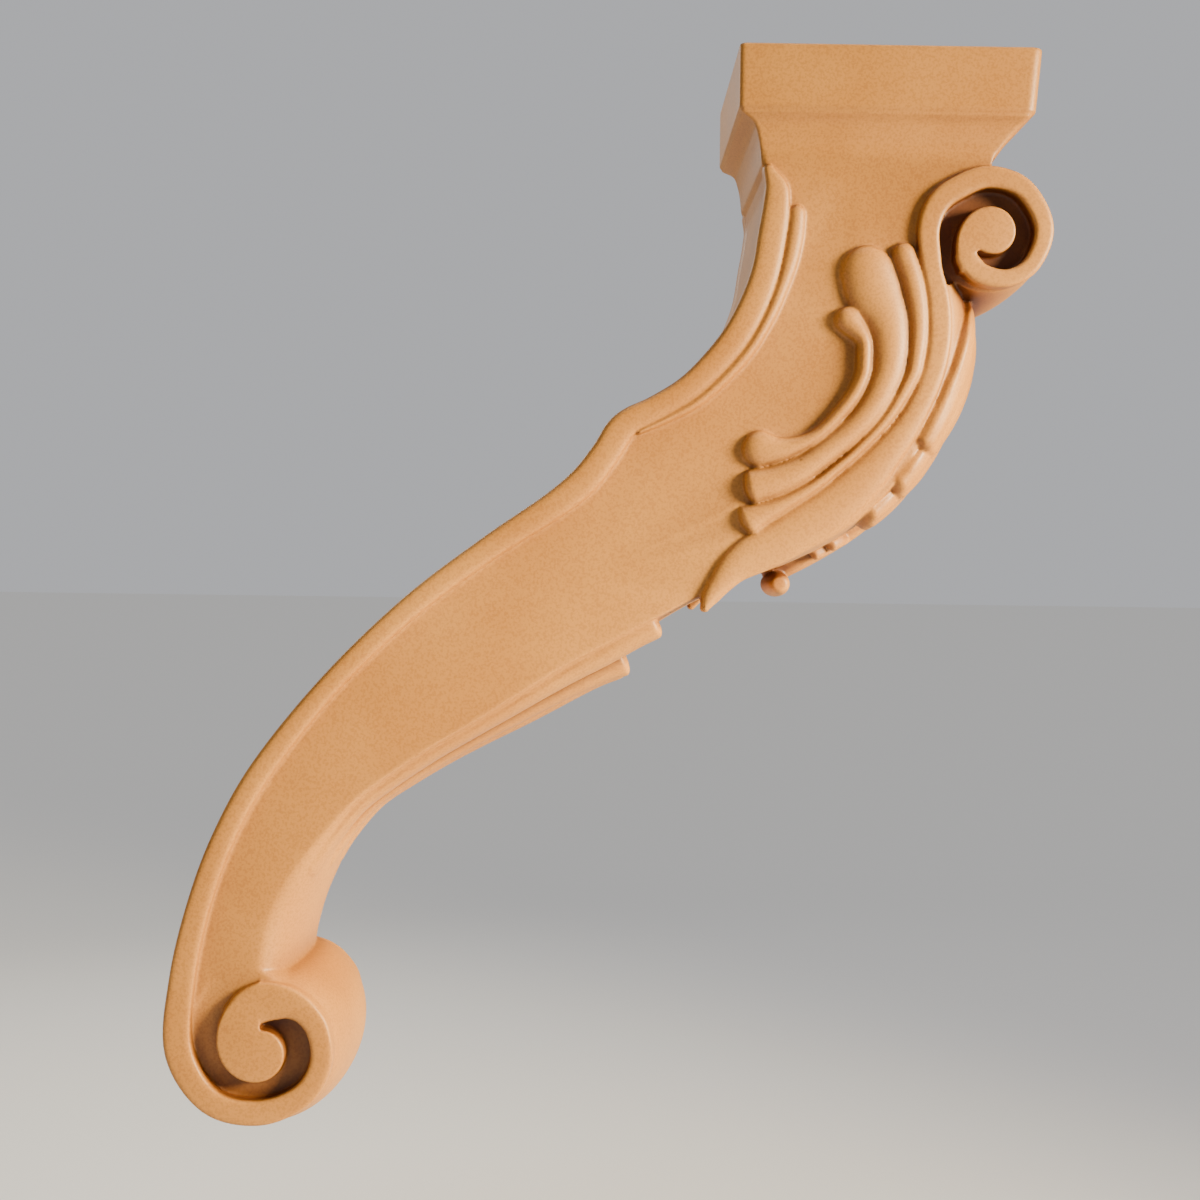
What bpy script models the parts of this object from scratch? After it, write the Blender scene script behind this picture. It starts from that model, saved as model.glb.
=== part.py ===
"""Acanthus corbel: a flared cap over an S-shaped bracket with a volute at its head,
an acanthus leaf on its knee and a scroll foot, carved alike on both flanks.

Metres, +Z up, +X to the front. The origin is the centre of the cap's flat top.
"""

import math

import bmesh
import bpy
import numpy as np

# Overall sizes
HEIGHT = 0.500              # nominal: the paths below are in thousandths of it
BODY_WIDTH = 0.1008         # from one flank panel to the other
CAP_LENGTH = 0.1370         # along X
CAP_WIDTH = 0.1126          # along Y
CAP_FACE = 0.0295           # upright part of the cap
CAP_FLARE = 0.0240          # sloping underside, down to the neck
CAP_LEAN = 0.0025           # how far the front face leans in at its foot
CAP_CORNER = 0.0050         # radius of the upright corners in front
CAP_BACK_CORNER = 0.0023
NECK_BACK = 0.0575          # neck behind the cap's middle, at the foot of the flare
NECK_FRONT = 0.0455
CAP_EASE = 0.0010           # easing of the top and bottom arrises

# Raised work on the flanks
RIM_PROUD = 0.0036          # volutes and front band over the panel
RIM_DEPTH = 0.0075          # how far the rims reach down into the body
RIM_EASE = 0.0007           # easing of the rims' edges
MOULDING_PROUD = 0.0034     # back moulding over the panel
STRIP_PROUD = 0.0030        # inner strip of the back moulding
STRIP_OVERLAP = 0.0003      # how far it reaches into the moulding beside it
RIDGE_PROUD = 0.0056        # curled ridges beside the front band
EDGE_INSET = 0.0009         # body core inside the rims' outer edges

# Scrolls
TOP_RADIUS = 0.0279         # volute at the head
TOP_BAND = 0.0094           # width of its band
TOP_EYE = 0.0104
TOP_EYE_DROP = 0.0011       # eye's centre under the roll's
TOP_BULGE = 0.0026          # roll's middle over its ends
FOOT_RADIUS = 0.0331        # scroll foot
FOOT_BAND = 0.0112
FOOT_EYE = 0.0098
FOOT_BULGE = 0.0073
TOP_FADE = 0.0185           # how fast the band draws in to the eye, per degree
FOOT_FADE = 0.0102
GROOVE_FLOOR = 0.0050       # scroll grooves below the flank panel
BARREL_STEP = 0.0008        # barrels inside their rims
SEAM_DROP = 0.0005          # eye's face dips this much under the band where they join
SEAM_TURN = 40              # and comes up again over these degrees

# Leaves
CURL_RADIUS = 0.0062        # small roll at the knee leaf's tip
CURL_LENGTH = 0.0400
STEM_LIFT = 0.0058          # leaf's midrib and stem over the knee
LOBE_LIFT = 0.0052
FLUTE = 0.15                # depth of the lobes' flutes, as a share of their lift
FINGER_LIFT = 0.0075        # blunt fingers of the lower leaf

# Fineness
SPAN_STEPS = 5              # points tried between two stations of a path
SLACK = 0.00048             # how far a facet may stand off the smooth curve
EYE_STEP = 20               # degrees between points of a scroll's eye
END_TURNS = (40, 75)        # degrees round a ridge's rounded end
ROUND_SIDES = 6             # facets over a rounded ridge
RIM_SIDES = 4               # facets over a rim or moulding
SLICES = (-1.0, -0.95, -0.8, -0.5, -0.17, 0.17, 0.5, 0.8, 0.95, 1.0)

WOOD_COLOUR = (0.56, 0.35, 0.19, 1.0)

HALF = BODY_WIDTH / 2
UNIT = HEIGHT / 1000

# Stations are (x, z, half width) or, on the front edges, (x, z, swell at mid-width).
BACK_BAND = [
    (-108.7, -112, 5), (-101.4, -129, 10.8), (-102, -149, 12.3), (-104.8, -169, 12.9),
    (-110.4, -202, 12.6), (-120.5, -232, 12.8), (-136, -262, 12.6), (-156, -287.5, 12),
    (-179.7, -310.6, 11.5), (-208, -328.5, 11.3), (-230, -340, 12.2), (-241.5, -351, 13.2),
    (-253, -370, 13.1), (-273, -396, 13.3), (-302, -420, 12.5), (-357.4, -457.5, 11.2),
    (-427.6, -511.5, 10.4), (-498.5, -581.6, 10), (-559.6, -659.9, 10.6), (-594.3, -724.5, 10.6),
    (-615.8, -787.2, 11), (-629.1, -851.8, 11.9)]
STRIP_WIDTHS = [             # (z of the back band beside it, half width)
    (-147, 7.6), (-169, 8.2), (-186, 7.9), (-202, 7), (-217, 6.2), (-247, 5.5), (-288, 5.2),
    (-311, 4.6), (-321, 3.9), (-328.5, 3.2), (-335.2, 2.4), (-341, 1.5)]
FRONT_BAND = [
    (38.5, -190, 9.8), (40.7, -202.4, 9.3), (46.3, -226.5, 10.2), (48.1, -252.9, 10.7),
    (45.8, -277.9, 10.5), (39.2, -302.4, 10.6), (28.8, -325.5, 11.3), (16, -347, 13.2),
    (1.5, -365.9, 15.2), (-13.5, -383.9, 17.8), (-32.7, -403.4, 19.5), (-52.8, -420.3, 20.7),
    (-75.2, -435.2, 20.8), (-95.3, -448, 19.9), (-118.1, -460.2, 18.4), (-134.5, -471.6, 14.8),
    (-147, -486, 11), (-156.5, -499.5, 8), (-161, -509, 4)]
SMALL_CURL = [
    (-34.5, -247.1, 13), (-21.2, -264.2, 8.2), (-19.8, -281.5, 7.9), (-21.1, -295.9, 7.6),
    (-28.6, -313.4, 7.6), (-41.9, -331.4, 7.3), (-59.9, -349.9, 6.9), (-77.1, -359.6, 8.2),
    (-95.5, -364.8, 12), (-112, -364.5, 17.5)]
BROAD_LOBE = [
    (-17.8, -203.6, 24.8), (-11.1, -223.7, 25.4), (-1.9, -241.4, 21), (3, -261, 18),
    (3.3, -281.2, 16.2), (-0.2, -298.5, 15.1), (-12, -324.1, 13.8), (-32.2, -348, 12.6),
    (-64.4, -374.5, 12.4), (-81.9, -385.7, 14.1), (-100, -393.7, 15), (-119, -398.8, 16.2)]
THIN_RIDGE = [
    (14.7, -187.3, 11.4), (22.2, -208.8, 11), (26.2, -226, 10.6), (28.5, -243.3, 9.7),
    (28.8, -260.6, 9.3), (26.7, -280.8, 8.5), (22.4, -298.2, 7.8), (1.5, -334.9, 6.1),
    (-26.7, -365.8, 5.5), (-43.8, -380.8, 5.5), (-61, -394.9, 6.1), (-81.3, -407.9, 7.2),
    (-98.2, -417.1, 9), (-114, -424.8, 12), (-122, -429.5, 15)]
KNEE_EDGE = [
    (53.8, -207.6, 25), (58.4, -229, 29), (59.7, -250.6, 31), (58.2, -276, 30),
    (48.2, -313.3, 25.5), (34.3, -348.5, 20), (17, -381.8, 14), (-1.8, -405.3, 11.5),
    (-23.7, -426, 9.8), (-50.3, -445, 7), (-70.5, -456.2, 6), (-92.4, -466, 6),
    (-117.5, -474.8, 5)]
LEG_EDGE = [
    (-121.4, -476.8, 5), (-152.7, -491.5, 5), (-183.5, -506.6, 6), (-222.6, -527, 10),
    (-256.5, -545.3, 15), (-291.8, -564.5, 17), (-338.9, -594.7, 15.5), (-375.8, -618.4, 13),
    (-408.1, -637.9, 13.3), (-440.1, -659.3, 14), (-475.9, -685.9, 15.5), (-503.3, -715.4, 20.5),
    (-529.1, -744.5, 31), (-550.5, -779.8, 36.5), (-560.5, -811.9, 37), (-564, -841.9, 35)]
NECK_EDGE = [(70, -150), (92, -113), (99, -80)]
GROOVE_TAIL = [(65, -204), (57, -213), (44, -208)]     # groove's way out under the top roll
TOP_CENTRE = (94, -163)
FOOT_CENTRE = (-558, -915.8)

# The cap's flare as (way down it, way in from the cap's edge to the neck).
FLARE = [(0.05, 0.1), (0.2, 0.62), (0.4, 0.8), (0.65, 0.92), (1.0, 1.0)]

# The scrolls' bands as (turn, outer radius, width), in degrees from the back and shares of
# their radius and band.
TOP_TURNS = [
    (0, 1.215, 1.09), (25, 1.165, 1.14), (50, 1.068, 1.15), (85, 1.036, 1.10), (127, 1.004, 0.99),
    (176, 1.004, 0.93), (218, 0.996, 0.85), (250, 0.975, 0.85), (281, 0.92, 1.02),
    (305, 0.835, 1.1), (320, 0.76, 1.0)]
FOOT_TURNS = [
    (0, 1.302, 1.14), (45, 1.136, 1.04), (90, 1.005, 1.02), (135, 0.985, 0.94), (170, 1, 0.91),
    (200, 1.006, 0.96), (221, 1, 1.04), (237, 0.997, 1.24), (252, 0.985, 1.5), (268, 0.965, 1.66),
    (285, 0.89, 1.58), (300, 0.8, 1.4)]

# Leaf stations are (way down the edge, distance from the middle, half width, lift),
# the first as a share of that edge's length, the next two of half the body's width.
LOBES = [
    [(0.08, 0.30, 0.30, 0.5), (0.18, 0.55, 0.44, 0.85), (0.28, 0.69, 0.36, 1.15),
     (0.37, 0.80, 0.26, 1.3), (0.435, 0.85, 0.20, 1.25)],
    [(0.32, 0.30, 0.24, 0.8), (0.41, 0.53, 0.32, 1.1), (0.49, 0.73, 0.28, 1.25),
     (0.56, 0.84, 0.19, 1.2)],
    [(0.45, 0.25, 0.20, 0.8), (0.54, 0.50, 0.26, 1.05), (0.61, 0.71, 0.24, 1.15),
     (0.665, 0.83, 0.17, 1.15)]]
MIDRIB = [(0.03, 0, 0.15, 0.6), (0.2, 0, 0.19, 0.75), (0.4, 0, 0.17, 1.0), (0.6, 0, 0.14, 0.95),
          (0.70, 0, 0.13, 0.9), (0.80, 0, 0.12, 1.0), (0.88, 0, 0.11, 1.1), (0.93, 0, 0.10, 1.1)]
TEETH = [(0.715, 0.80), (0.765, 0.72)]   # way down the edge and size of each pair
TOOTH_REACH = 0.30
FINGERS = [
    [(0.245, 0.0, 0.20, 1.75), (0.29, 0.0, 0.215, 1.45), (0.40, 0.0, 0.205, 1.25),
     (0.53, 0.0, 0.19, 1.0), (0.68, 0.0, 0.16, 0.6), (0.80, 0.0, 0.13, 0.15)],
    [(0.235, 0.40, 0.20, 1.75), (0.28, 0.41, 0.20, 1.35), (0.40, 0.42, 0.175, 0.95),
     (0.53, 0.43, 0.16, 0.8), (0.68, 0.43, 0.14, 0.5), (0.80, 0.43, 0.12, 0.15)],
    [(0.165, 0.79, 0.175, 1.0), (0.22, 0.79, 0.175, 0.85), (0.38, 0.79, 0.15, 0.58),
     (0.54, 0.79, 0.14, 0.5), (0.68, 0.80, 0.12, 0.42), (0.82, 0.81, 0.10, 0.1)]]


def smooth(rows, steps=SPAN_STEPS):
    """Rows joined by a smooth curve through every one of them."""
    ends = np.vstack([2 * rows[0] - rows[1], rows, 2 * rows[-1] - rows[-2]])
    out = []
    for a, b, c, d in zip(ends, ends[1:], ends[2:], ends[3:]):
        for t in np.arange(steps) / steps:
            out.append(0.5 * (2 * b + (c - a) * t + (2 * a - 5 * b + 4 * c - d) * t ** 2
                              + (3 * b - a - 3 * c + d) * t ** 3))
    out.append(rows[-1])
    return np.array(out)


def thin(rows, slack=SLACK):
    """The rows that a chain of straight facets needs to stay this close to the curve."""
    if len(rows) < 3:
        return rows
    chord = rows[-1] - rows[0]
    away = rows - rows[0]
    if chord.any():
        away = away - np.outer(away @ chord, chord) / (chord @ chord)
    away = np.linalg.norm(away, axis=1)
    worst = int(np.argmax(away))
    if away[worst] <= slack:
        return rows[[0, -1]]
    return np.vstack([thin(rows[:worst + 1], slack)[:-1], thin(rows[worst:], slack)])


def path(*stretches):
    return thin(smooth(np.vstack(stretches)))


def unit(vectors):
    return vectors / np.linalg.norm(vectors, axis=-1, keepdims=True)


def normals(path, turn):
    """Unit normals of a flat path, to its left for turn 1 and to its right for -1."""
    along = unit(np.gradient(path[:, :2], axis=0))
    return turn * np.stack([-along[:, 1], along[:, 0]], axis=1)


def solid(name, mesh):
    bmesh.ops.recalc_face_normals(mesh, faces=mesh.faces)
    data = bpy.data.meshes.new(name)
    mesh.to_mesh(data)
    mesh.free()
    obj = bpy.data.objects.new(name, data)
    bpy.context.scene.collection.objects.link(obj)
    return obj


def loft(name, rings):
    """Closed solid through rings of equally many points, flat at both ends."""
    mesh = bmesh.new()
    loops = [[mesh.verts.new(p) for p in ring] for ring in rings]
    count = len(loops[0])
    for low, high in zip(loops, loops[1:]):
        for i in range(count):
            j = (i + 1) % count
            mesh.faces.new((low[i], low[j], high[j], high[i]))
    mesh.faces.new(loops[0])
    mesh.faces.new(loops[-1])
    return solid(name, mesh)


def ridge(name, points, outward, widths, lifts, depth, squareness=2.0, sides=ROUND_SIDES, flutes=0,
          ends=(1.0, 1.0)):
    """Raised band along a path on a surface: its section is half an oval, squarer for a higher
    squareness, and each end is rounded over that share of its half width."""
    squareness = np.broadcast_to(squareness, len(points))
    along = unit(np.gradient(points, axis=0))
    across = unit(np.cross(along, outward))
    rows = list(zip(points, across, outward, widths, lifts, squareness))

    def end_rows(index, way, reach):
        p, a, o, w, h, square = rows[index]
        turns = np.radians(END_TURNS)
        return [(p + way * along[index] * w * reach * math.sin(b), a, o, w * math.cos(b),
                 h * math.cos(b) ** 0.7, square) for b in turns]

    whole = end_rows(0, -1, ends[0])[::-1] + rows + end_rows(-1, 1, ends[1])
    angles = np.pi * np.arange(sides + 1) / sides
    fluting = 1 - FLUTE * (flutes > 0) * np.sin((flutes + 0.5) * (angles - np.pi / 2)) ** 2
    rings = []
    for p, a, o, w, h, square in whole:
        wide = np.sign(np.cos(angles)) * np.abs(np.cos(angles)) ** (2 / square)
        high = np.sin(angles).clip(0) ** (2 / square) * fluting
        ring = [p + a * w * c + o * h * s for c, s in zip(wide, high)]
        ring.append(p - a * w * 0.94 - o * depth)
        ring.append(p + a * w * 0.94 - o * depth)
        rings.append(ring)
    return loft(name, rings)


def flank_ridge(name, rows, side, lift, depth, squareness=2.0, sides=ROUND_SIDES, ends=(1.0, 1.0)):
    """Ridge along (x, z, half width) rows on the flank at y = side * HALF."""
    points = np.stack([rows[:, 0], np.full(len(rows), side * HALF), rows[:, 1]], axis=1)
    outward = np.tile([0.0, float(side), 0.0], (len(rows), 1))
    lifts = np.full(len(rows), lift)
    return ridge(name, points, outward, rows[:, 2], lifts, depth, squareness, sides, ends=ends)


def inner_strip():
    """Rows of the strip that lies against the back band's inner edge."""
    band = smooth(UNIT * np.array(BACK_BAND))
    heights, halves = UNIT * np.array(STRIP_WIDTHS).T
    band = band[(band[:, 1] <= heights[0]) & (band[:, 1] >= heights[-1])]
    half = np.interp(-band[:, 1], -heights, halves)[:, None]
    middle = band[:, :2] + normals(band, 1) * (band[:, 2:] + half - STRIP_OVERLAP)
    return thin(np.hstack([middle, half]))


def polar(centre, radius, degrees):
    return (centre[0] + radius * math.cos(math.radians(degrees)),
            centre[1] + radius * math.sin(math.radians(degrees)))


def scroll(centre, turns, radius, band, way):
    """Rows of a scroll's band, turning from the back: clockwise for way -1, else the other way."""
    rows = []
    for turn, outer, width in turns:
        middle = radius * outer - band * width / 2
        rows.append((*polar(centre * UNIT, middle, 180 + way * turn), band * width / 2))
    return np.array(rows)


def top_scroll():
    return scroll(np.array(TOP_CENTRE), TOP_TURNS, TOP_RADIUS, TOP_BAND, -1)


def foot_scroll():
    return scroll(np.array(FOOT_CENTRE), FOOT_TURNS, FOOT_RADIUS, FOOT_BAND, 1)


def eye(name, centre, eye_radius, start_radius, fade, start, way, side):
    """Snail-shaped plate that ends a scroll: its radius falls from the band's to the eye's."""
    face = HALF + RIM_PROUD + 0.0001
    turns = range(0, 361, EYE_STEP)
    radii = [eye_radius + (start_radius - eye_radius) * math.exp(-fade * turn) for turn in turns]
    dips = [SEAM_DROP * max(0.0, 1 - turn / SEAM_TURN) for turn in turns]
    rings = []
    for height, inset in ((HALF - RIM_DEPTH, 0), (face - RIM_EASE, 0), (face, RIM_EASE)):
        flat = [polar(centre, r - inset, start + way * t) for r, t in zip(radii, turns)]
        rings.append([(x, side * (height - dip), z) for (x, z), dip in zip(flat, dips)])
    return loft(name, rings)


def swell(share, z):
    """Height of a front edge's swelling across the width, 1 at the middle and 0 at the flanks.
    It rises from the flank at an angle, and near the foot in a full round."""
    roundness = np.interp(z, [-0.74 * HEIGHT, -0.66 * HEIGHT], [0.5, 0.75])
    return (1 - abs(share) ** 2.2) ** roundness


def front_point(rows, way, share):
    """Point and outward normal on a swelling front, at a share of its length and half width."""
    lengths = np.concatenate([[0], np.cumsum(np.linalg.norm(np.diff(rows[:, :2], axis=0), axis=1))])
    at = way * lengths[-1]
    sides = normals(rows, 1)
    x, z, rise = (np.interp(at, lengths, rows[:, i]) for i in range(3))
    nx, nz = (np.interp(at, lengths, sides[:, i]) for i in range(2))
    lift = rise * swell(share, z)
    slope = rise * (swell(share + 0.01, z) - swell(share - 0.01, z)) / (0.02 * HALF)
    point = np.array([x + nx * lift, share * HALF, z + nz * lift])
    return point, unit(np.array([nx, -slope, nz]))


def leaf_ridge(name, rows, stations, side, lift, depth, flutes=0, ends=(1.0, 0.8)):
    fine = smooth(np.array(stations), 2)
    placed = [front_point(rows, way, side * share) for way, share, _, _ in fine]
    points = np.array([p for p, _ in placed])
    outward = np.array([n for _, n in placed])
    return ridge(name, points, outward, fine[:, 2] * HALF, fine[:, 3] * lift, depth,
                 2.4, 4 * flutes or ROUND_SIDES, flutes, ends)


def body_core():
    """The S-shaped body without its raised work, swelling in front."""
    edge = path(UNIT * np.array(BACK_BAND), foot_scroll()[:7])
    outer = edge[:, :2] + normals(edge, -1) * (edge[:, 2:] - EDGE_INSET)
    outer = np.hstack([outer, np.zeros((len(outer), 1))])
    leg = path(UNIT * np.array(LEG_EDGE))[::-1]
    knee = path(UNIT * np.array(KNEE_EDGE))[::-1]
    inside_roll = np.array([[TOP_CENTRE[0] - 20, TOP_CENTRE[1] + 5, 0]]) * UNIT
    neck = np.array([(x, z, 0) for x, z in NECK_EDGE]) * UNIT
    top = -(CAP_FACE + 0.45 * CAP_FLARE)
    neck = np.vstack([neck, [[neck[-1, 0] - 0.001, top, 0]]])
    head = np.array([[outer[0, 0], top, 0]])
    out_leg = normals(leg, -1)
    out_knee = normals(knee, -1)
    rows = np.vstack([head, outer, leg, knee, inside_roll, neck])
    ways = np.zeros((len(rows), 2))
    first = 1 + len(outer)
    ways[first:first + len(leg)] = out_leg
    ways[first + len(leg):first + len(leg) + len(knee)] = out_knee
    rings = []
    for share in SLICES:
        lift = rows[:, 2:] * swell(share, rows[:, 1:2]) - (abs(share) == 1) * 0.0012
        flat = rows[:, :2] + ways * lift
        rings.append([(x, share * HALF, z) for x, z in flat])
    return loft("corbel", rings)


def cap():
    """Flat-topped block on a flare, through rounded rectangles one under another."""
    foot = -(CAP_FACE + CAP_FLARE)
    length, width = CAP_LENGTH / 2, CAP_WIDTH / 2
    face = length - CAP_LEAN
    levels = [(0, length - CAP_EASE, length - CAP_EASE, width - CAP_EASE),
              (-CAP_EASE, length, length, width),
              (-CAP_FACE + CAP_EASE, length, face, width),
              (-CAP_FACE, length - CAP_EASE, face - CAP_EASE, width - CAP_EASE)]
    for down, inward in FLARE:
        share = 0.45 * down + 0.55 * down ** 0.6
        levels.append((-CAP_FACE - down * CAP_FLARE, length + (NECK_BACK - length) * inward,
                       face + (NECK_FRONT - face) * share, width + (HALF - 0.0006 - width) * inward))
    levels.append((foot - 0.012, NECK_BACK - 0.007, NECK_FRONT - 0.006, HALF - 0.004))
    rings = []
    for z, back, front, half in levels:
        tight = 1 if z >= -CAP_FACE else 0.5
        ring = []
        for x, y, start, corner in ((front, half, 0, CAP_CORNER), (-back, half, 90, CAP_BACK_CORNER),
                                    (-back, -half, 180, CAP_BACK_CORNER),
                                    (front, -half, 270, CAP_CORNER)):
            corner *= tight
            middle = (x - math.copysign(corner, x), y - math.copysign(corner, y))
            for turn in (0, 30, 60, 90):
                ring.append((*polar(middle, corner, start + turn), z))
        rings.append(ring)
    return loft("cap", rings)


def barrel(name, centre, end_radius, bulge, half_length, steps):
    """Turned roll lying across the body, fullest at its middle."""
    shares = np.linspace(-1, 1, 9)
    data = bpy.data.meshes.new(name)
    rim = [(end_radius + bulge * (1 - s * s) ** 0.7, 0, -s * half_length) for s in shares]
    profile = [(0, 0, half_length)] + rim + [(0, 0, -half_length)]
    data.from_pydata(profile, [(i, i + 1) for i in range(len(profile) - 1)], [])
    obj = bpy.data.objects.new(name, data)
    bpy.context.scene.collection.objects.link(obj)
    screw = obj.modifiers.new("turn", "SCREW")
    screw.steps = screw.render_steps = steps
    screw.use_merge_vertices = True
    screw.merge_threshold = 0.00001
    obj.rotation_euler.x = math.radians(90)
    obj.location = (centre[0], 0, centre[1])
    bpy.context.view_layer.update()
    turned = bpy.data.meshes.new_from_object(obj.evaluated_get(bpy.context.evaluated_depsgraph_get()))
    obj.modifiers.clear()
    obj.data = turned
    mesh = bmesh.new()
    mesh.from_mesh(turned)
    bmesh.ops.recalc_face_normals(mesh, faces=mesh.faces)
    mesh.to_mesh(turned)
    mesh.free()
    return obj


def foot_groove(side):
    """Cutter for the trough between the foot's band and its eye, dying out on the leg."""
    centre = np.array(FOOT_CENTRE) * UNIT
    turns, outers, bands = np.array(FOOT_TURNS).T
    rows = []
    for turn in np.linspace(265, -70, 20):
        eye_edge = FOOT_EYE + (FOOT_RADIUS - FOOT_EYE) * math.exp(-FOOT_FADE * (turn + 90))
        wall = eye_edge + 0.0115
        if turn > 0:
            wall = (FOOT_RADIUS * np.interp(turn, turns, outers)
                    - FOOT_BAND * np.interp(turn, turns, bands))
        fade = min(1.0, (turn + 62) / 105)
        x, z = polar(centre, (eye_edge + wall) / 2, 180 + turn)
        rows.append((x, z, (wall - eye_edge) / 2 + 0.0012, GROOVE_FLOOR * fade))
    rows = np.array(rows)
    points = np.stack([rows[:, 0], np.full(len(rows), side * HALF), rows[:, 1]], axis=1)
    outward = np.tile([0.0, -float(side), 0.0], (len(rows), 1))
    return ridge("groove", points, outward, rows[:, 2], rows[:, 3], 0.006, 2.6)


def top_groove(side):
    """Cutter that sinks the flank inside the top volute's ring."""
    outline = [(x, z) for x, z, _ in top_scroll()]
    outline += [(x * UNIT, z * UNIT) for x, z in GROOVE_TAIL]
    floor = HALF - GROOVE_FLOOR - BARREL_STEP
    return loft("top_groove", [[(x, side * y, z) for x, z in outline]
                               for y in (floor, HALF + 2 * RIM_PROUD)])


def tip_curl(rows):
    point, out = front_point(rows, 0.928, 0.0)
    centre = point + out * (STEM_LIFT + 0.0015)
    return barrel("tip_curl", centre[[0, 2]], CURL_RADIUS * 0.7, CURL_RADIUS * 0.3,
                  CURL_LENGTH / 2, 14)


def raised_work(knee, leg):
    """Every carved form that stands on the core, on both flanks and across the front."""
    top = np.array(TOP_CENTRE) * UNIT
    foot = np.array(FOOT_CENTRE) * UNIT
    top_eye = top - np.array([0, TOP_EYE_DROP])
    back = path(UNIT * np.array(BACK_BAND), foot_scroll())
    front = path(top_scroll()[::-1], UNIT * np.array(FRONT_BAND))
    squarer = np.interp(back[:, 1], [-0.45, -0.35], [5.0, 3.0])
    flatter = np.interp(front[:, 1], [-0.17, -0.12], [2.2, 5.0])
    ridges = [
        ("small_curl", SMALL_CURL, RIDGE_PROUD * 0.9, 0.0050, (1.0, 1.0)),
        ("broad_lobe", BROAD_LOBE, RIDGE_PROUD, 0.0052, (1.0, 0.5)),
        ("thin_ridge", THIN_RIDGE, RIDGE_PROUD * 0.8, 0.0054, (1.0, 0.5))]
    made = []
    for side in (-1, 1):
        for name, stations, proud, depth, ends in ridges:
            rows = path(UNIT * np.array(stations))
            made.append(flank_ridge(name, rows, side, proud, depth, ends=ends))
        made += [
            flank_ridge("inner_strip", inner_strip(), side, STRIP_PROUD, 0.0040, 2.0, RIM_SIDES),
            flank_ridge("back_moulding", back, side, MOULDING_PROUD, RIM_DEPTH, squarer, RIM_SIDES),
            flank_ridge("front_band", front, side, RIM_PROUD, RIM_DEPTH, flatter, RIM_SIDES,
                        (0.2, 1.0)),
            eye("top_eye", top_eye, TOP_EYE, TOP_RADIUS * 0.85, TOP_FADE, -126, -1, side),
            eye("foot_eye", foot, FOOT_EYE, FOOT_RADIUS * 0.98, FOOT_FADE, 90, 1, side)]
        for number, stations in enumerate(LOBES):
            made.append(leaf_ridge(f"lobe{number}", knee, stations, side, LOBE_LIFT,
                                   0.006 + 0.0006 * number, 2, (0.6, 0.5)))
        for way, size in TEETH:
            tooth = [(way, 0.06, 0.075 * size, 0.9), (way + 0.02, 0.16, 0.085 * size, 0.85),
                     (way + 0.045, TOOTH_REACH * size, 0.075 * size, 0.8)]
            made.append(leaf_ridge("tooth", knee, tooth, side, STEM_LIFT, 0.0062, 0, (0.5, 0.6)))
        for number, stations in enumerate(FINGERS[1:]):
            made.append(leaf_ridge(f"finger{number}", leg, stations, side, FINGER_LIFT,
                                   0.007 + 0.0007 * number, 0, (0.35, 0.6)))
    made.append(leaf_ridge("midfinger", leg, FINGERS[0], 1, FINGER_LIFT, 0.0064, 0, (0.35, 0.6)))
    made.append(leaf_ridge("midrib", knee, MIDRIB, 1, STEM_LIFT, 0.007, 0, (0.5, 0.8)))
    made.append(tip_curl(knee))
    made.append(barrel("roll", top, TOP_RADIUS - BARREL_STEP, TOP_BULGE, HALF - GROOVE_FLOOR, 28))
    made.append(barrel("foot_barrel", foot, FOOT_RADIUS - BARREL_STEP, FOOT_BULGE,
                       HALF - 0.0042, 30))
    made.append(cap())
    return made


def gather(name, objects):
    """Moves helper shapes into a collection of their own, left out of the render."""
    group = bpy.data.collections.new(name)
    bpy.context.scene.collection.children.link(group)
    group.hide_render = True
    for obj in objects:
        for holder in list(obj.users_collection):
            holder.objects.unlink(obj)
        group.objects.link(obj)
        obj.hide_render = True
        obj.display_type = "WIRE"
    return group


def boolean(target, group, operation):
    step = target.modifiers.new(operation.lower(), "BOOLEAN")
    step.operation = operation
    step.solver = "EXACT"
    step.operand_type = "COLLECTION"
    step.collection = group


def main():
    for obj in list(bpy.data.objects):
        bpy.data.objects.remove(obj, do_unlink=True)
    corbel = body_core()
    knee = smooth(UNIT * np.array(KNEE_EDGE))
    leg = smooth(UNIT * np.array(LEG_EDGE))
    cutters = [groove(side) for groove in (foot_groove, top_groove) for side in (-1, 1)]
    boolean(corbel, gather("groove_cutters", cutters), "DIFFERENCE")
    boolean(corbel, gather("raised_work", raised_work(knee, leg)), "UNION")
    tidy = corbel.modifiers.new("merge flat facets", "DECIMATE")
    tidy.decimate_type = "DISSOLVE"
    tidy.angle_limit = math.radians(3.0)
    wood = bpy.data.materials.new("carved_wood")
    wood.use_nodes = True
    shader = wood.node_tree.nodes["Principled BSDF"]
    shader.inputs["Base Color"].default_value = WOOD_COLOUR
    shader.inputs["Roughness"].default_value = 0.5
    shader.inputs["Metallic"].default_value = 0.0
    corbel.data.materials.append(wood)
    group = bpy.data.collections.new("acanthus_corbel")
    bpy.context.scene.collection.children.link(group)
    bpy.context.scene.collection.objects.unlink(corbel)
    group.objects.link(corbel)


main()
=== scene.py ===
"""The acanthus corbel as one finely carved skin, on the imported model's frame."""

import math

import bmesh
import bpy
import numpy as np
from mathutils import Matrix, Vector
from mathutils.bvhtree import BVHTree


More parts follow.
